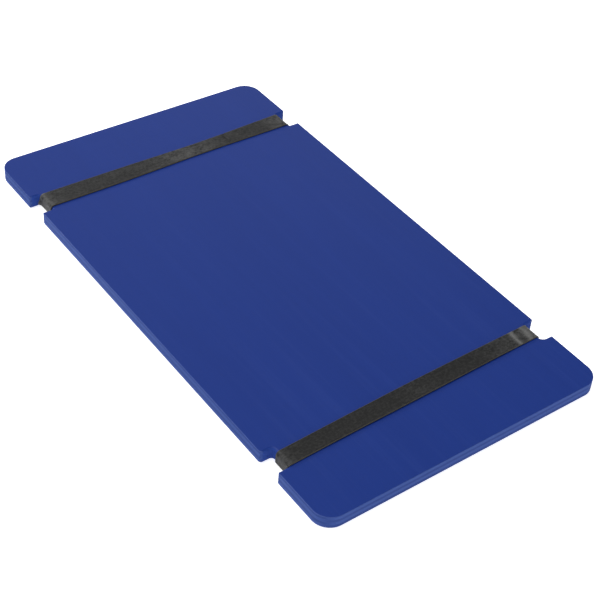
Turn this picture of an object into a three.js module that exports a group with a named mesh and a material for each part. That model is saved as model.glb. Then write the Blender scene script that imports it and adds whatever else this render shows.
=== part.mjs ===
// Menu board: a blue-stained plywood board with two flat rubber bands stretched round it. The
// bands sit in notches in the board's long sides and hold a sheet against its front face.
//
// Millimetres, +Z up. The board lies on its back, on the bands' back runs. The origin is the
// centre of its footprint on the surface below. +X runs across the width and +Y along the length.

import * as THREE from 'three';

// Board outline
const BOARD_WIDTH = 139.7;
const BOARD_LENGTH = 254;
const CORNER_RADIUS = 8;
const FAR_TAB = 30.3; // from the +Y end to the far notches
const NEAR_TAB = 29.1; // from the -Y end to the near notches
const NOTCH_LENGTH = 12.2;
const NOTCH_DEPTH = 5.3;
const NOTCH_FILLET = 1.6;

// Rubber bands
const BAND_THICKNESS = 0.65;
const BAND_CLEARANCE = 0.3; // between a band's legs and the notch walls
const LIP_LENGTH = 1.2; // how far a band's end bends reach over the face
const RUN_GAP = 0.3; // between a front run and the lips that it continues
const BANDS = [
  { name: 'far_band', centre: 90.4, width: 9.4, skew: 0 },
  { name: 'near_band', centre: -91.9, width: 8.2, skew: 0.016 },
];

// Plies from the back of the board to its face. The grain turns by a right angle at each one.
const PLIES = [
  { name: 'back_veneer', thickness: 1.65, color: 0x3a559a },
  { name: 'back_crossband', thickness: 1.3, color: 0x44599a },
  { name: 'core_ply', thickness: 1.35, color: 0x374d92 },
  { name: 'front_crossband', thickness: 1.2, color: 0x44599a },
  { name: 'face_veneer', thickness: 0.4, color: 0x2a3e83 },
];
const BOARD_THICKNESS = PLIES.reduce((sum, ply) => sum + ply.thickness, 0);

const ARC_STEPS = 4; // half the number of chords in each arc
const HALF_WIDTH = BOARD_WIDTH / 2;
const HALF_LENGTH = BOARD_LENGTH / 2;
const NOTCH_WALL = HALF_WIDTH - NOTCH_DEPTH;

// Points in order round a closed outline that is symmetric about x = 0, from those of its +X half.
function mirrored(half) {
  const other = half.map((p) => new THREE.Vector2(-p.x, p.y)).reverse();
  return new THREE.Shape([...half, ...other.slice(1, -1)]);
}

// A notch in the +X side that starts at y = start, with filleted inner corners.
function addNotch(path, start) {
  const end = start + NOTCH_LENGTH;
  const filletX = NOTCH_WALL + NOTCH_FILLET;
  path.lineTo(HALF_WIDTH, start);
  path.absarc(filletX, start + NOTCH_FILLET, NOTCH_FILLET, -Math.PI / 2, -Math.PI, true);
  path.absarc(filletX, end - NOTCH_FILLET, NOTCH_FILLET, Math.PI, Math.PI / 2, true);
  path.lineTo(HALF_WIDTH, end);
}

function boardOutline() {
  const cornerX = HALF_WIDTH - CORNER_RADIUS;
  const cornerY = HALF_LENGTH - CORNER_RADIUS;
  const path = new THREE.Path();
  path.moveTo(0, -HALF_LENGTH);
  path.lineTo(cornerX, -HALF_LENGTH);
  path.absarc(cornerX, -cornerY, CORNER_RADIUS, -Math.PI / 2, 0);
  addNotch(path, -HALF_LENGTH + NEAR_TAB);
  addNotch(path, HALF_LENGTH - FAR_TAB - NOTCH_LENGTH);
  path.absarc(cornerX, cornerY, CORNER_RADIUS, 0, Math.PI / 2);
  path.lineTo(0, HALF_LENGTH);
  return mirrored(path.getPoints(ARC_STEPS));
}

// The +X half of one face of a band's back loop, in section: along the back run, up the leg and
// over to the lip. offset is the face's distance outside the loop's inner face.
function loopFace(offset) {
  const radius = BAND_CLEARANCE + offset;
  const low = BAND_THICKNESS - offset;
  const high = BAND_THICKNESS + BOARD_THICKNESS + offset;
  const path = new THREE.Path();
  path.moveTo(0, low);
  path.lineTo(NOTCH_WALL, low);
  path.absarc(NOTCH_WALL, low + radius, radius, -Math.PI / 2, 0);
  path.absarc(NOTCH_WALL, high - radius, radius, 0, Math.PI / 2);
  path.lineTo(NOTCH_WALL - LIP_LENGTH, high);
  return path.getPoints(ARC_STEPS);
}

function backLoopSection() {
  return mirrored([...loopFace(BAND_THICKNESS), ...loopFace(0).reverse()]);
}

function frontRunSection() {
  const end = NOTCH_WALL - LIP_LENGTH - RUN_GAP;
  const low = BAND_THICKNESS + BOARD_THICKNESS;
  const high = low + BAND_THICKNESS;
  const path = new THREE.Path();
  path.moveTo(0, low);
  path.lineTo(end, low);
  path.lineTo(end, high);
  path.lineTo(0, high);
  return mirrored(path.getPoints());
}

function material(color, roughness) {
  return new THREE.MeshStandardMaterial({ color, roughness, metalness: 0 });
}

function named(name, geometry, finish) {
  const mesh = new THREE.Mesh(geometry, finish);
  mesh.name = name;
  return mesh;
}

function makeBoard() {
  const board = new THREE.Group();
  const outline = boardOutline();
  let z = BAND_THICKNESS;
  for (const ply of PLIES) {
    const options = { depth: ply.thickness, bevelEnabled: false };
    const geometry = new THREE.ExtrudeGeometry(outline, options);
    const mesh = named(ply.name, geometry, material(ply.color, 0.6));
    mesh.position.z = z;
    board.add(mesh);
    z += ply.thickness;
  }
  return board;
}

// A section in the XZ plane, given the band's width along Y and leant by its skew.
function bandGeometry(section, band) {
  const options = { depth: band.width, bevelEnabled: false };
  const geometry = new THREE.ExtrudeGeometry(section, options);
  geometry.rotateX(Math.PI / 2);
  geometry.translate(0, band.width / 2, 0);
  return geometry.applyMatrix4(new THREE.Matrix4().makeShear(band.skew, 0, 0, 0, 0, 0));
}

function makeBand(band) {
  const group = new THREE.Group();
  const rubber = () => material(0x343434, 0.75);
  group.add(named(`${band.name}_front_run`, bandGeometry(frontRunSection(), band), rubber()));
  group.add(named(`${band.name}_back_loop`, bandGeometry(backLoopSection(), band), rubber()));
  group.position.y = band.centre;
  return group;
}

const menuBoard = new THREE.Group();
menuBoard.add(makeBoard());
for (const band of BANDS) menuBoard.add(makeBand(band));

export default menuBoard;
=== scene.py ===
"""The looks of a menu board: a blue-stained plywood board and two black rubber bands."""
import math

import bpy
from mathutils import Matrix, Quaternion, Vector, noise


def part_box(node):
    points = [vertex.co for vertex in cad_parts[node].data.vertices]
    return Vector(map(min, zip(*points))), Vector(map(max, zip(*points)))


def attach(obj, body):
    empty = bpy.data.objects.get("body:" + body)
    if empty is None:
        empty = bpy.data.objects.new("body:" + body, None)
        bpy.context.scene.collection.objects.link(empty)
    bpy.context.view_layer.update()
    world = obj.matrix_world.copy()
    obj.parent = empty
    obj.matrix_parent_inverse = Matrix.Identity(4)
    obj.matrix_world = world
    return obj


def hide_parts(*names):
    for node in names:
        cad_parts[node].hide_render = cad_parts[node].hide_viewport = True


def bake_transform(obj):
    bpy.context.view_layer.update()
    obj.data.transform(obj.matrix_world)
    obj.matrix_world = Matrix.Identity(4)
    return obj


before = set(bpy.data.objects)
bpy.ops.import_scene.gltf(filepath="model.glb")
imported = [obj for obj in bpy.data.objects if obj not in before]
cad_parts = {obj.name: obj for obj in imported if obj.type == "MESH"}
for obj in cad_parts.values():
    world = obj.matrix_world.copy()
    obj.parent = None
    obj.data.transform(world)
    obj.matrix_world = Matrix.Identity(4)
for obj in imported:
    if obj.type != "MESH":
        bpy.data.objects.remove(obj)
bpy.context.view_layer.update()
MM = 0.001

# Board outline
CORNER_RADIUS = 8 * MM
NOTCH_DEPTH = 5.3 * MM
NOTCH_FILLET = 1.6 * MM
WIDE_FILLET = 2.9 * MM
MOUTH_RADIUS = 0.5 * MM  # at a notch's outer corners
WORN_MOUTH_RADIUS = 1.3 * MM
ARC_CHORD = 0.45 * MM

# Radii of the arrises at the face and at the back: round the board, along a notch's two sides,
# and along its wall, which the band bends over
EDGE_ARRIS = 0.12 * MM
SIDE_ARRIS = 0.8 * MM
WALL_ARRIS = 1.3 * MM
EDGE_ARRISES = Vector((EDGE_ARRIS, EDGE_ARRIS))
SIDE_ARRISES = Vector((SIDE_ARRIS, EDGE_ARRIS))
WALL_ARRISES = Vector((WALL_ARRIS, WALL_ARRIS))
GLUE_GROOVE = 0.04 * MM
ARRIS_LEVELS = [0, 0.01, 0.035, 0.07, 0.12, 0.2, 0.32, 0.5, 0.75, 1.0, 1.3]  # mm in from a face

BOARD_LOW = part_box("back_veneer")[0]
BOARD_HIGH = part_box("face_veneer")[1]
NOTCH_WALL = BOARD_HIGH.x - NOTCH_DEPTH

# Notches as cut: where each starts and ends along Y, and at its start and its end the radius of
# the mouth corner and of the fillet in the inner corner
RIGHT_NOTCHES = [
    (-97.2 * MM, -85.8 * MM, (MOUTH_RADIUS, WIDE_FILLET), (MOUTH_RADIUS, NOTCH_FILLET)),
    (85.15 * MM, 96.7 * MM, (MOUTH_RADIUS, NOTCH_FILLET), (MOUTH_RADIUS, NOTCH_FILLET)),
]
LEFT_NOTCHES = [
    (-97.8 * MM, -86.4 * MM, (MOUTH_RADIUS, NOTCH_FILLET), (WORN_MOUTH_RADIUS, NOTCH_FILLET)),
    (83.7 * MM, 96.3 * MM, (MOUTH_RADIUS, NOTCH_FILLET), (MOUTH_RADIUS, NOTCH_FILLET)),
]

# Plies from back to face, with the axis that each one's grain runs along
PLIES = [
    ("back_veneer", "Y"),
    ("back_crossband", "X"),
    ("core_ply", "Y"),
    ("front_crossband", "X"),
    ("face_veneer", "Y"),
]

# Rubber bands
BAND_THICKNESS = 0.62 * MM
BAND_EDGE = 0.12 * MM  # radius of the band's cut edges
BAND_GAP = 0.02 * MM  # what the stretched band keeps to the wood
BEND_RADIUS = WALL_ARRIS + BAND_GAP
LIP = 1.0 * MM  # flat length between a bend and the front run
CURL = 0.08 * MM  # how far the band's edges stand up at a bend
CURL_REACH = 1.6 * MM
FADE = 20 * MM  # length over which a front run's stand-off fades out towards a bend
ACROSS_STEPS = 24
RIDGE_SLANT = 0.5  # mm that a ridge shifts along X from the band's middle to its +Y edge
CREASE_BEND = 0.5  # mm that a crease's ends lie toward +X of its middle
CREASE_FADE = 0.3  # share of the half width over which a crease fades in and out
UNEVEN = 0.025  # mm by which the front run's face rises and falls, either way of that height
UNEVEN_SCALE = (0.09, 1.5)  # how fast it does so, per mm along X and per half width across
SEAM_MARGIN = 0.001 * MM

# Each band, in mm where nothing else is said:
#   centre, along Y at mid-width, and lean, in mm of Y per mm of X
#   bow, how far the front run's ends bend toward +Y
#   width, less a waist (depth, x, spread)
#   shift, how far the back run lies toward +Y of the front one, at the -X and +X ends
#   creases (x, depth, spread, first and last share of the half width)
#   ridges (x, height, spread)
#   stand, how far the front run's -Y edge stands off the face
#   seed of its unevenness
#   dust and highlights, places where the dust is thicker and painted highlights over the bends and
#   ridges (x, amount, spread), on top of dust everywhere
BANDS = {
    "far_band": {
        "centre": 90.15,
        "lean": 0.0045,
        "bow": 0.35,
        "width": 10.0,
        "waist": (1.8, 18, 33),
        "shift": (0.95, 0.1),
        "creases": [(31.5, 0.28, 0.4, -0.4, 1.0)],
        "ridges": [],
        "stand": 0.0,
        "seed": 0,
        "notches": (LEFT_NOTCHES[1], RIGHT_NOTCHES[1]),
        # the entries at the ends add a painted highlight over the bends as well as dust
        "dust_and_highlights": [(-66, 0.26, 4), (8, 0.18, 17), (66, 0.34, 8)],
        "dust": 0.085,
    },
    "near_band": {
        "centre": -91.92,
        "lean": 0.0225,
        "bow": -0.35,
        "width": 8.1,
        "waist": (-0.7, 0, 42),
        "shift": (0.1, 0.1),
        "creases": [(-8.4, 0.16, 0.3, -1.0, -0.1), (-10.6, 0.06, 0.4, -1.0, 0.2)],
        "ridges": [(55.3, 0.08, 0.9), (61.0, 0.08, 1.0)],
        "stand": 0.15,
        "seed": 2,
        "notches": (LEFT_NOTCHES[0], RIGHT_NOTCHES[0]),
        "dust_and_highlights": [
            (-67, 0.17, 5), (0, 0.04, 8), (54, 0.13, 13),
            # painted highlights on the ridges and the band's end
            (55.1, 0.8, 0.9), (61.2, 0.75, 1.4), (65, 0.75, 2.2),
        ],
        "dust": 0.03,
    },
}
BACK_WIDER = 0.15  # mm by which the bands are wider where they aren't stretched over the face


# ---------------------------------------------------------------- meshes

def make_mesh(name, points, faces, sharp_angle, sharp_edges=()):
    """A mesh object, smooth except over edges bent by more than sharp_angle and those named."""
    mesh = bpy.data.meshes.new(name)
    mesh.from_pydata(points, [], faces)
    mesh.validate()
    mesh.shade_smooth()
    mesh.set_sharp_from_angle(angle=sharp_angle)
    wanted = {frozenset(edge) for edge in sharp_edges}
    if wanted:
        sharp = mesh.attributes["sharp_edge"].data
        for edge in mesh.edges:
            if frozenset(edge.vertices) in wanted:
                sharp[edge.index].value = True
    obj = bpy.data.objects.new(name, mesh)
    bpy.context.scene.collection.objects.link(obj)
    return obj


def bridge(rings, count):
    """Quads between successive rings of count points, numbered in order."""
    faces = []
    for ring in range(rings - 1):
        for i in range(count):
            j = (i + 1) % count
            low, high = ring * count, (ring + 1) * count
            faces.append((low + i, low + j, high + j, high + i))
    return faces


def spread(first, last, steps):
    """Evenly spaced numbers from first to last, both included."""
    return [first + (last - first) * k / steps for k in range(steps + 1)]


def smooth(t):
    """A smooth step from 0 at t = 0 to 1 at t = 1."""
    t = min(max(t, 0), 1)
    return t * t * (3 - 2 * t)


# ---------------------------------------------------------------- board

def rounded(corners):
    """Points round a closed outline of right-angled corners (x, y, radius, arrises before,
    arrises after), each with its outward normal and the radii of the arrises there."""
    outline = []
    for i, (x, y, radius, arrises_in, arrises_out) in enumerate(corners):
        before, after = corners[i - 1], corners[(i + 1) % len(corners)]
        into = Vector((x - before[0], y - before[1])).normalized()
        out = Vector((after[0] - x, after[1] - y)).normalized()
        centre = Vector((x, y)) + (out - into) * radius
        first, last = Vector((into.y, -into.x)), Vector((out.y, -out.x))
        side = math.copysign(1, into.cross(out))
        steps = max(4, round(radius * math.pi / 2 / ARC_CHORD))
        for k in range(steps + 1):
            turn = k / steps * math.pi / 2
            normal = first * math.cos(turn) + last * math.sin(turn)
            arrises = arrises_in.lerp(arrises_out, k / steps)
            outline.append((centre + normal * radius * side, normal, arrises))
    return outline


def side_corners(side, notches):
    """Corners up one long side, at x = side, from -Y to +Y."""
    wall = math.copysign(NOTCH_WALL, side)
    corners = []
    for start, end, (start_mouth, start_fillet), (end_mouth, end_fillet) in notches:
        corners += [
            (side, start, start_mouth, EDGE_ARRISES, SIDE_ARRISES),
            (wall, start, start_fillet, SIDE_ARRISES, WALL_ARRISES),
            (wall, end, end_fillet, WALL_ARRISES, SIDE_ARRISES),
            (side, end, end_mouth, SIDE_ARRISES, EDGE_ARRISES),
        ]
    near = (side, BOARD_LOW.y, CORNER_RADIUS, EDGE_ARRISES, EDGE_ARRISES)
    far = (side, BOARD_HIGH.y, CORNER_RADIUS, EDGE_ARRISES, EDGE_ARRISES)
    return [near, *corners, far]


def board_outline():
    """The whole outline, anticlockwise from the near right corner."""
    right = side_corners(BOARD_HIGH.x, RIGHT_NOTCHES)
    left = side_corners(BOARD_LOW.x, LEFT_NOTCHES)
    turned = [
        (x, y, radius, after, before) for x, y, radius, before, after in reversed(left)
    ]
    return rounded(right + turned)


def arris_inset(z, arrises):
    """How far an edge with those two arrises is rounded off at height z."""
    inset = 0
    for radius, depth in zip(arrises, (BOARD_HIGH.z - z, z - BOARD_LOW.z)):
        rise = min(max(radius - depth, 0), radius)
        inset = max(inset, radius - math.sqrt(radius ** 2 - rise ** 2))
    return inset


def ply_levels(low, high):
    """(z, inset) up a ply's edge, with a fine groove at each glue line."""
    levels = []
    for face, up in ((BOARD_LOW.z, 1), (BOARD_HIGH.z, -1)):
        levels += [face + up * depth * MM for depth in ARRIS_LEVELS]
    levels = [z for z in levels if low + GLUE_GROOVE * 1.5 < z < high - GLUE_GROOVE * 1.5]
    if low > BOARD_LOW.z:
        bottom = [(low, GLUE_GROOVE), (low + GLUE_GROOVE, 0)]
    else:
        bottom = [(low, 0), (low + ARRIS_LEVELS[1] * MM, 0), (low + ARRIS_LEVELS[2] * MM, 0)]
    if high < BOARD_HIGH.z:
        top = [(high - GLUE_GROOVE, 0), (high, GLUE_GROOVE)]
    else:
        top = [(high - ARRIS_LEVELS[2] * MM, 0), (high - ARRIS_LEVELS[1] * MM, 0), (high, 0)]
    return bottom + [(z, 0) for z in sorted(levels)] + top


def make_ply(node, grain, outline):
    """One ply, as a stack of outlines closed by a flat face at each end."""
    low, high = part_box(node)
    levels = ply_levels(low.z, high.z)
    points = []
    for z, groove in levels:
        for place, normal, arrises in outline:
            points.append((*(place - normal * (groove + arris_inset(z, arrises))), z))
    count = len(outline)
    faces = bridge(len(levels), count)
    faces.append(tuple(reversed(range(count))))
    faces.append(tuple(range(len(points) - count, len(points))))
    caps = [
        (first + i, first + (i + 1) % count)
        for first in (0, len(points) - count)
        for i in range(count)
    ]
    ply = make_mesh(node + "_wood", points, faces, math.radians(40), caps)
    ply.data.materials.append(wood(node, grain))
    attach(ply, "board")
    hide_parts(node)
    return ply


# ---------------------------------------------------------------- bands

WALL = NOTCH_WALL + BAND_GAP
FLAT_END = WALL - BEND_RADIUS
SEAM = FLAT_END - LIP


def front_stations(band, side):
    """Places along half of the front run, from the middle to the bend, closer at its creases."""
    places = spread(0, SEAM, 60) + spread(SEAM, FLAT_END, 3)[1:]
    for x, _, width, _, _ in band["creases"]:
        if x * side > 0:
            places += [abs(x) * MM + step * width * MM for step in (-1.5, -1, -0.5, 0, 0.5, 1, 1.5)]
    return sorted(places)


def bend(z, start, steps=9):
    """A quarter turn of the inner face about (FLAT_END, z), whose normal starts at start."""
    turns = [start - k / steps * math.pi / 2 for k in range(steps + 1)]
    return [
        (FLAT_END + BEND_RADIUS * math.cos(t), z + BEND_RADIUS * math.sin(t), t) for t in turns
    ]


def half_path(band, side):
    """(x, z, direction of the outward normal) round half of the band's inner face, on the +X
    side: the front run from the middle, the leg, and the back run to the middle."""
    top, bottom = BOARD_HIGH.z + BAND_GAP, BOARD_LOW.z - BAND_GAP
    path = [(x, top, math.pi / 2) for x in front_stations(band, side)][:-1]
    path += bend(top - BEND_RADIUS, math.pi / 2)
    path += [(WALL, z, 0) for z in spread(top - BEND_RADIUS, bottom + BEND_RADIUS, 8)[1:-1]]
    path += bend(bottom + BEND_RADIUS, 0)
    path += [(x, bottom, -math.pi / 2) for x in spread(FLAT_END, 0, 40)[1:]]
    return path


def band_path(band):
    """The whole way round, from the middle of the front run over the +X end and back."""
    right = half_path(band, 1)
    left = [(-x, z, math.pi - turn) for x, z, turn in half_path(band, -1)]
    return right + left[-2::-1]


def section(half_width):
    """(across, out) round a band's section, from -Y to +Y over the outer face and back."""
    flat, top = half_width - BAND_EDGE, BAND_THICKNESS - BAND_EDGE
    outer = [(a, BAND_THICKNESS) for a in spread(-flat, flat, ACROSS_STEPS)]
    corners = [math.radians(a) for a in (60, 30, 0)]
    right = [(flat + BAND_EDGE * math.cos(a), top + BAND_EDGE * math.sin(a)) for a in corners]
    right += [(a, BAND_THICKNESS - z) for a, z in reversed(right)]
    inner = [(a, 0) for a in spread(flat, -flat, ACROSS_STEPS)]
    left = [(-a, z) for a, z in reversed(right)]
    return outer + right + inner + left


def edges_at(band, x, z):
    """The Y places of the band's two edges at (x, z). The back run is shifted from the front run,
    and the legs go smoothly from one to the other."""
    x, end = x / MM, WALL / MM
    depth, place, reach = band["waist"]
    width = band["width"] - depth * math.exp(-((x - place) / reach) ** 2)
    centre = band["centre"] + band["lean"] * x + band["bow"] * (x / end) ** 2
    left, right = band["shift"]
    down = smooth((BOARD_HIGH.z - z) / (BOARD_HIGH.z - BOARD_LOW.z))
    centre += (left + (right - left) * (x / end + 1) / 2) * down
    width += BACK_WIDER * down
    return (centre - width / 2) * MM, (centre + width / 2) * MM


def fillet_rise(y, notch):
    """How far a notch's filleted inner corners push the band out of the notch at y."""
    start, end, (_, start_fillet), (_, end_fillet) = notch
    depths = (
        (start + start_fillet - y, start_fillet),
        (y - end + end_fillet, end_fillet),
    )
    rise = 0
    for depth, radius in depths:
        depth = min(max(depth, 0), radius * 0.95)
        rise = max(rise, radius - math.sqrt(radius ** 2 - depth ** 2))
    return rise


def crease_at(band, x, share):
    """How deep the creases are at x, and share of the half width, in mm."""
    total = 0
    for place, depth, width, first, last in band["creases"]:
        fade = smooth((share - first) / CREASE_FADE + 0.5)
        fade *= smooth((last - share) / CREASE_FADE + 0.5)
        bent = place + CREASE_BEND * share ** 2
        total += depth * fade * math.exp(-((x / MM - bent) / width) ** 2)
    return total


def front_relief(band, x, share):
    """How far the front run stands off its even thickness at x, and share of its half width."""
    along, across = UNEVEN_SCALE
    place = Vector((x / MM * along, share * across, band["seed"]))
    rise = UNEVEN * (1 + noise.noise(place))
    for middle, height, width in band["ridges"]:
        rise += height * math.exp(-((x / MM - RIDGE_SLANT * share - middle) / width) ** 2)
    return (rise - crease_at(band, x, share)) * MM


def stand_off(band, x, share):
    """How far the band's -Y edge stands off the face, less towards its middle and the bends."""
    return band["stand"] * MM * smooth(-share) * smooth((SEAM - abs(x)) / FADE)


def bend_distance(x, z):
    """How far (x, z) is from the middle of the nearest bend over the face's edge."""
    middle = BEND_RADIUS * math.sqrt(0.5)
    dx = abs(x) - FLAT_END - middle
    dz = z - (BOARD_HIGH.z + BAND_GAP - BEND_RADIUS + middle)
    return math.hypot(dx, dz)


def dust_and_highlights_at(band, x, share):
    """How thick the dust is at x, and share of the half width, with painted highlights over the
    bends and ridges, and the creases painted darker as shade.
    """
    along = x / MM - RIDGE_SLANT * share
    parts = [
        amount * math.exp(-((along - place) / reach) ** 2)
        for place, amount, reach in band["dust_and_highlights"]
    ]
    # painted shade: the creases are made darker by taking their depth off the dust
    return band["dust"] + sum(parts) - crease_at(band, x, share)


def band_rings(band):
    """Rings of points round the band's section all along its path, and for each point the
    distances along and across the band, the share of its half width and its dust, with the painted
    highlights and crease shade."""
    rings, patterns = [], []
    travelled, last = 0.0, None
    for x, z, turn in band_path(band):
        if last:
            travelled += math.dist(last, (x, z))
        last = (x, z)
        near, far = edges_at(band, x, z)
        centre, half_width = (near + far) / 2, (far - near) / 2
        out = Vector((math.cos(turn), 0, math.sin(turn)))
        curl = CURL * math.exp(-(bend_distance(x, z) / CURL_REACH) ** 2)
        on_leg = abs(math.cos(turn))
        notch = band["notches"][1 if x > 0 else 0]
        ring, pattern = [], []
        for across, rise in section(half_width):
            share = across / half_width
            y = centre + across
            lift = curl * abs(share) ** 3
            if turn == math.pi / 2:
                lift += stand_off(band, x, share)
                if rise > BAND_THICKNESS / 2:
                    lift += front_relief(band, x, share)
            push = Vector((math.copysign(on_leg * fillet_rise(y, notch), x), 0, 0))
            ring.append(Vector((x, y, z)) + out * (rise + lift) + push)
            pattern.append((travelled, across, abs(share), dust_and_highlights_at(band, x, share)))
        rings.append(ring)
        patterns.append(pattern)
    return rings, patterns


def make_band_piece(name, rings, patterns, material):
    """A closed stretch of band from its rings, with its pattern's coordinates."""
    count = len(rings[0])
    points = [p for ring in rings for p in ring]
    faces = bridge(len(rings), count)
    faces.append(tuple(reversed(range(count))))
    faces.append(tuple(range(len(points) - count, len(points))))
    faces = [tuple(reversed(face)) for face in faces]
    piece = make_mesh(name, points, faces, math.radians(40))
    places = [place for pattern in patterns for place in pattern]
    attribute = piece.data.attributes.new("band", "FLOAT_VECTOR", "POINT")
    attribute.data.foreach_set("vector", [c for place in places for c in place[:3]])
    attribute = piece.data.attributes.new("dust_and_highlights", "FLOAT", "POINT")
    attribute.data.foreach_set("value", [place[3] for place in places])
    piece.data.materials.append(material)
    return piece


def make_band(name, band):
    """One band, as the two halves of its front run and the loop that holds them."""
    rings, patterns = band_rings(band)
    path = band_path(band)
    on_loop = [
        i for i, (x, z, _) in enumerate(path) if abs(x) > SEAM - SEAM_MARGIN or z < BOARD_LOW.z
    ]
    first, last = on_loop[0], on_loop[-1]
    material = rubber(name)
    runs = (
        ("right", 1, slice(0, first + 1)),
        ("left", -1, slice(last, None)),
    )
    for side_name, side, part in runs:
        piece_name = f"{name}_front_{side_name}"
        piece = make_band_piece(piece_name, rings[part], patterns[part], material)
        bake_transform(piece)
        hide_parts(name + "_front_run")
    part = slice(first, last + 1)
    loop = make_band_piece(name + "_loop", rings[part], patterns[part], material)
    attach(loop, "board")
    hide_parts(name + "_back_loop")


# ---------------------------------------------------------------- materials

class Shader:
    """A new material's node tree. A node's inputs take numbers, or other nodes' outputs."""

    def __init__(self, name):
        self.material = bpy.data.materials.new(name)
        self.material.use_nodes = True
        self.tree = self.material.node_tree
        self.surface = self.tree.nodes["Principled BSDF"]

    def add(self, kind, inputs=None, **settings):
        node = self.tree.nodes.new("ShaderNode" + kind)
        for key, value in settings.items():
            setattr(node, key, value)
        self.fill(node, inputs or {})
        return node

    def fill(self, node, inputs):
        for key, value in inputs.items():
            if isinstance(value, bpy.types.NodeSocket):
                self.tree.links.new(value, node.inputs[key])
            else:
                node.inputs[key].default_value = value

    def maths(self, operation, a, b=0.0, clamp=False):
        node = self.add("Math", {0: a, 1: b}, operation=operation, use_clamp=clamp)
        return node.outputs[0]

    def noise(self, place, scale, detail=3.0, roughness=0.5, distortion=0.0):
        """Noise whose features are 1 / scale metres apart on each axis of place."""
        mapped = self.add("Mapping", {"Vector": place, "Scale": scale}).outputs[0]
        inputs = {"Vector": mapped, "Scale": 1.0, "Detail": detail,
                  "Roughness": roughness, "Distortion": distortion}
        return self.add("TexNoise", inputs).outputs["Fac"]

    def remap(self, value, low, high, to_low=0.0, to_high=1.0):
        inputs = {"Value": value, "From Min": low, "From Max": high,
                  "To Min": to_low, "To Max": to_high}
        return self.add("MapRange", inputs).outputs[0]

    def mix(self, share, a, b):
        node = self.add("Mix", data_type="RGBA")
        self.fill(node, {0: share, 6: a, 7: b})
        return node.outputs[2]


# Colours, each pair from the darker to the lighter figure of the wood
FACE_BLUES = ((0.0044, 0.0260, 0.190, 1), (0.0054, 0.0288, 0.205, 1))
LONG_EDGE_BLUES = ((0.036, 0.071, 0.250, 1), (0.047, 0.085, 0.285, 1))
END_EDGE_BLUES = ((0.023, 0.049, 0.197, 1), (0.031, 0.060, 0.226, 1))
# Painted shade: the deeper blue given to the notches' walls
NOTCH_SHADE_BLUES = ((0.015, 0.044, 0.240, 1), (0.025, 0.060, 0.290, 1))
# Arrises: worn paler, and lighter still as a painted highlight
WORN_AND_HIGHLIGHT_BLUE = (0.080, 0.120, 0.330, 1)
RUBBED_BLUE = (0.055, 0.095, 0.330, 1)
PORE_BLUE = (0.006, 0.02, 0.12, 1)
RUBBER_BLACK = (0.003, 0.003, 0.003, 1)
# Grey of the dust, also used for the painted highlights over the bends and ridges
DUST_AND_HIGHLIGHT_GREY = (0.125, 0.125, 0.122, 1)
CUT_EDGE_BROWN = (0.125, 0.113, 0.085, 1)

# Edges within these are a notch's
NOTCHED_X = BOARD_HIGH.x - 0.5 * MM
NOTCHED_Y = BOARD_HIGH.y - 1.5 * CORNER_RADIUS


def edge_wood(shader, tone, normal, place, grain):
    """The colour of a ply's edge: long grain lighter than end grain, the arrises worn paler and
    lit by a painted highlight, and a deeper blue painted as shade on the notches' walls."""
    end_grain = shader.remap(shader.maths("ABSOLUTE", normal.outputs[grain]), 0.3, 0.8)
    long_edge = shader.mix(tone, *LONG_EDGE_BLUES)
    end_edge = shader.mix(tone, *END_EDGE_BLUES)
    edge = shader.mix(end_grain, long_edge, end_edge)
    height = shader.maths("ABSOLUTE", normal.outputs["Z"])
    # arrises worn paler, with a painted highlight on them as well
    worn_and_highlight = shader.maths("MULTIPLY", shader.remap(height, 0.15, 0.4), 0.45)
    edge = shader.mix(worn_and_highlight, edge, WORN_AND_HIGHLIGHT_BLUE)
    split = shader.add("SeparateXYZ", {0: place})
    from_middle = [shader.maths("ABSOLUTE", split.outputs[axis]) for axis in ("X", "Y")]
    inside_x = shader.remap(from_middle[0], NOTCHED_X, NOTCHED_X - MM)
    inside_y = shader.remap(from_middle[1], NOTCHED_Y, NOTCHED_Y - MM)
    notch_shade_mask = shader.maths("MULTIPLY", inside_x, inside_y)
    # painted shade: the notches' walls are made a deeper blue for the shade in the recess
    notch = shader.mix(tone, *NOTCH_SHADE_BLUES)
    return shader.mix(notch_shade_mask, edge, notch)


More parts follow.
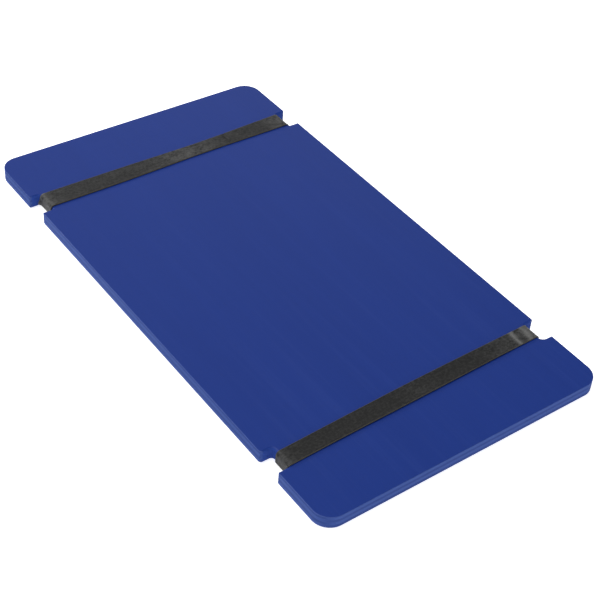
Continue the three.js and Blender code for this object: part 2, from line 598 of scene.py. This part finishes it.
def wood(name, grain):
    """Blue-stained veneer with its grain along X or Y, quiet on the face and clearer on edges."""
    shader = Shader(name + "_stain")
    place = shader.add("TexCoord").outputs["Object"]

    def stretched(across, along):
        return (along, across, across) if grain == "X" else (across, along, across)

    figure = shader.noise(place, stretched(70, 7), 3, 0.5, 0.8)
    fibre = shader.noise(place, stretched(1300, 45), 4, 0.6)
    streak = shader.noise(place, stretched(330, 9), 3, 0.65)
    pores = shader.remap(shader.noise(place, stretched(3200, 260), 2), 0.6, 0.72)

    normal = shader.add("SeparateXYZ", {0: shader.add("TexCoord").outputs["Normal"]})
    facing = shader.maths("ABSOLUTE", normal.outputs["Z"])
    on_edge = shader.remap(facing, 0.97, 0.7)

    tone = shader.maths("ADD", shader.maths("MULTIPLY", figure, 0.6),
                        shader.maths("MULTIPLY", fibre, 0.4))
    tone = shader.remap(tone, 0.3, 0.7)
    face = shader.mix(tone, *FACE_BLUES)
    along = shader.add("SeparateXYZ", {0: place}).outputs["Y"]
    rubbed = shader.maths("MULTIPLY", shader.remap(streak, 0.52, 0.74),
                          shader.remap(along, 60 * MM, -110 * MM, 0.02, 0.07))
    face = shader.mix(rubbed, face, RUBBED_BLUE)
    colour = shader.mix(on_edge, face, edge_wood(shader, tone, normal, place, grain))
    colour = shader.mix(shader.maths("MULTIPLY", pores, 0.25), colour, PORE_BLUE)

    relief = shader.maths("SUBTRACT", shader.maths("MULTIPLY", fibre, 0.5), pores)
    bump = shader.add("Bump", {"Height": relief, "Strength": 0.35, "Distance": 0.03 * MM})
    roughness = shader.remap(fibre, 0.2, 0.8, 0.36, 0.44)
    shader.fill(shader.surface, {
        "Base Color": colour,
        "Roughness": shader.maths("ADD", roughness, shader.maths("MULTIPLY", on_edge, 0.3)),
        "Specular IOR Level": shader.remap(on_edge, 0, 1, 0.2, 0.06),
        "Normal": bump.outputs[0],
    })
    return shader.material


def rubber(name):
    """Black rubber with a mottled bloom of dust, painted highlights over the bends and ridges,
    painted shade in the creases, fine marks across it and browner cut edges.
    """
    shader = Shader(name + "_rubber")
    place = shader.add("Attribute", attribute_name="band").outputs["Vector"]
    # dust, with the painted highlights over the bends and ridges and the painted shade in the
    # creases
    dust = shader.add("Attribute", attribute_name="dust_and_highlights").outputs["Fac"]
    share = shader.add("SeparateXYZ", {0: place}).outputs["Z"]
    clouds = shader.noise(place, (150, 200, 0), 4, 0.6)
    mottle = shader.noise(place, (700, 900, 0), 5, 0.75)
    marks = shader.noise(place, (2600, 260, 0), 3, 0.6)
    grit = shader.noise(place, (7000, 7000, 0), 2)
    specks = shader.noise(place, (1900, 1900, 0), 1)

    spots = shader.maths("ADD", shader.remap(clouds, 0.33, 0.67, 0.3, 1.6),
                         shader.remap(mottle, 0.36, 0.64, -0.55, 0.55))
    spotted = shader.remap(dust, 0.3, 0.7, 1.0, 0.3)
    spots = shader.maths("MULTIPLY", shader.maths("SUBTRACT", spots, 1.0), spotted)
    amount = shader.maths("MULTIPLY", dust, shader.maths("ADD", spots, 1.0))
    amount = shader.maths("ADD", amount, shader.remap(mottle, 0.36, 0.64, -0.075, 0.09))
    amount = shader.maths("ADD", amount, shader.remap(specks, 0.77, 0.81, 0.0, 0.7), clamp=True)
    # dust grey, which also paints the highlights over the bends and ridges
    colour = shader.mix(amount, RUBBER_BLACK, DUST_AND_HIGHLIGHT_GREY)
    edge = shader.remap(share, 0.95, 0.995)
    colour = shader.mix(shader.maths("MULTIPLY", edge, 0.6), colour, CUT_EDGE_BROWN)

    relief = shader.maths("ADD", shader.maths("MULTIPLY", marks, 0.7),
                          shader.maths("MULTIPLY", grit, 0.3))
    bump = shader.add("Bump", {"Height": relief, "Strength": 0.3, "Distance": 0.04 * MM})
    shader.fill(shader.surface, {
        "Base Color": colour,
        "Roughness": shader.remap(mottle, 0.3, 0.7, 0.52, 0.68),
        "Specular IOR Level": 0.27,
        "Normal": bump.outputs[0],
    })
    return shader.material


# ---------------------------------------------------------------- stage

FLOOR_SIZE = 30.0  # metres from the middle to each side
WORLD_STRENGTH = 0.32

# Each lamp, in metres and watts: name, place, diameter and power. All of them face the origin.
LAMPS = [
    ("key", (-0.6, 0.7, 1.8), 1.6, 29),
    ("back", (-0.3, 1.5, 0.6), 0.4, 10),
    ("card", (1.0, 1.3, 0.75), 1.4, 2.4),
    ("fill", (-0.1, -1.5, 0.45), 1.0, 6),
]


def make_floor():
    """A plain white floor, which also glows a little, so that it stays white round the board."""
    size = FLOOR_SIZE
    corners = [(-size, -size, 0), (size, -size, 0), (size, size, 0), (-size, size, 0)]
    floor = make_mesh("floor", corners, [(0, 1, 2, 3)], math.radians(30))
    shader = Shader("floor_paint")
    shader.fill(shader.surface, {
        "Base Color": (0.9, 0.9, 0.9, 1),
        "Roughness": 0.9,
        "Emission Color": (1, 1, 1, 1),
        "Emission Strength": 0.8,
    })
    floor.data.materials.append(shader.material)


def make_light(name, place, size, power):
    """A round soft light at place, which faces the origin."""
    light = bpy.data.lights.new(name, "AREA")
    light.shape = "DISK"
    light.size = size
    light.energy = power
    obj = bpy.data.objects.new(name, light)
    obj.location = place
    obj.rotation_mode = "QUATERNION"
    obj.rotation_quaternion = (-Vector(place)).to_track_quat("-Z", "Y")
    bpy.context.scene.collection.objects.link(obj)


def make_world():
    world = bpy.data.worlds.new("studio")
    world.use_nodes = True
    background = world.node_tree.nodes["Background"]
    background.inputs["Color"].default_value = (1, 1, 1, 1)
    background.inputs["Strength"].default_value = WORLD_STRENGTH
    bpy.context.scene.world = world


CAMERA_AZIMUTH = math.radians(-37.705)
CAMERA_ELEVATION = math.radians(39.467)
CAMERA_DISTANCE = 597.2 * MM
CAMERA_ROLL = math.radians(-6.258)
CAMERA_AIM = Vector((6.79, -32.23, 0)) * MM  # from the middle of the face
CAMERA_LENS = 82.7  # mm
CAMERA_SHIFT = -0.0629  # share of the picture's width


def make_camera():
    middle = Vector((0, 0, BOARD_HIGH.z))
    level = math.cos(CAMERA_ELEVATION)
    back = Vector((
        math.sin(CAMERA_AZIMUTH) * level,
        -math.cos(CAMERA_AZIMUTH) * level,
        math.sin(CAMERA_ELEVATION),
    ))
    camera = bpy.data.objects.new("camera", bpy.data.cameras.new("camera"))
    camera.data.lens = CAMERA_LENS
    camera.data.shift_x = CAMERA_SHIFT
    camera.location = middle + back * CAMERA_DISTANCE
    ahead = middle + CAMERA_AIM - camera.location
    roll = Quaternion(ahead.normalized(), CAMERA_ROLL)
    camera.rotation_mode = "QUATERNION"
    camera.rotation_quaternion = roll @ ahead.to_track_quat("-Z", "Y")
    bpy.context.scene.collection.objects.link(camera)
    bpy.context.scene.camera = camera


make_camera()
make_world()
make_floor()
for lamp in LAMPS:
    make_light(*lamp)

outline = board_outline()
for node, grain in PLIES:
    make_ply(node, grain, outline)
for name, band in BANDS.items():
    make_band(name, band)

bpy.context.scene.view_settings.view_transform = "Standard"
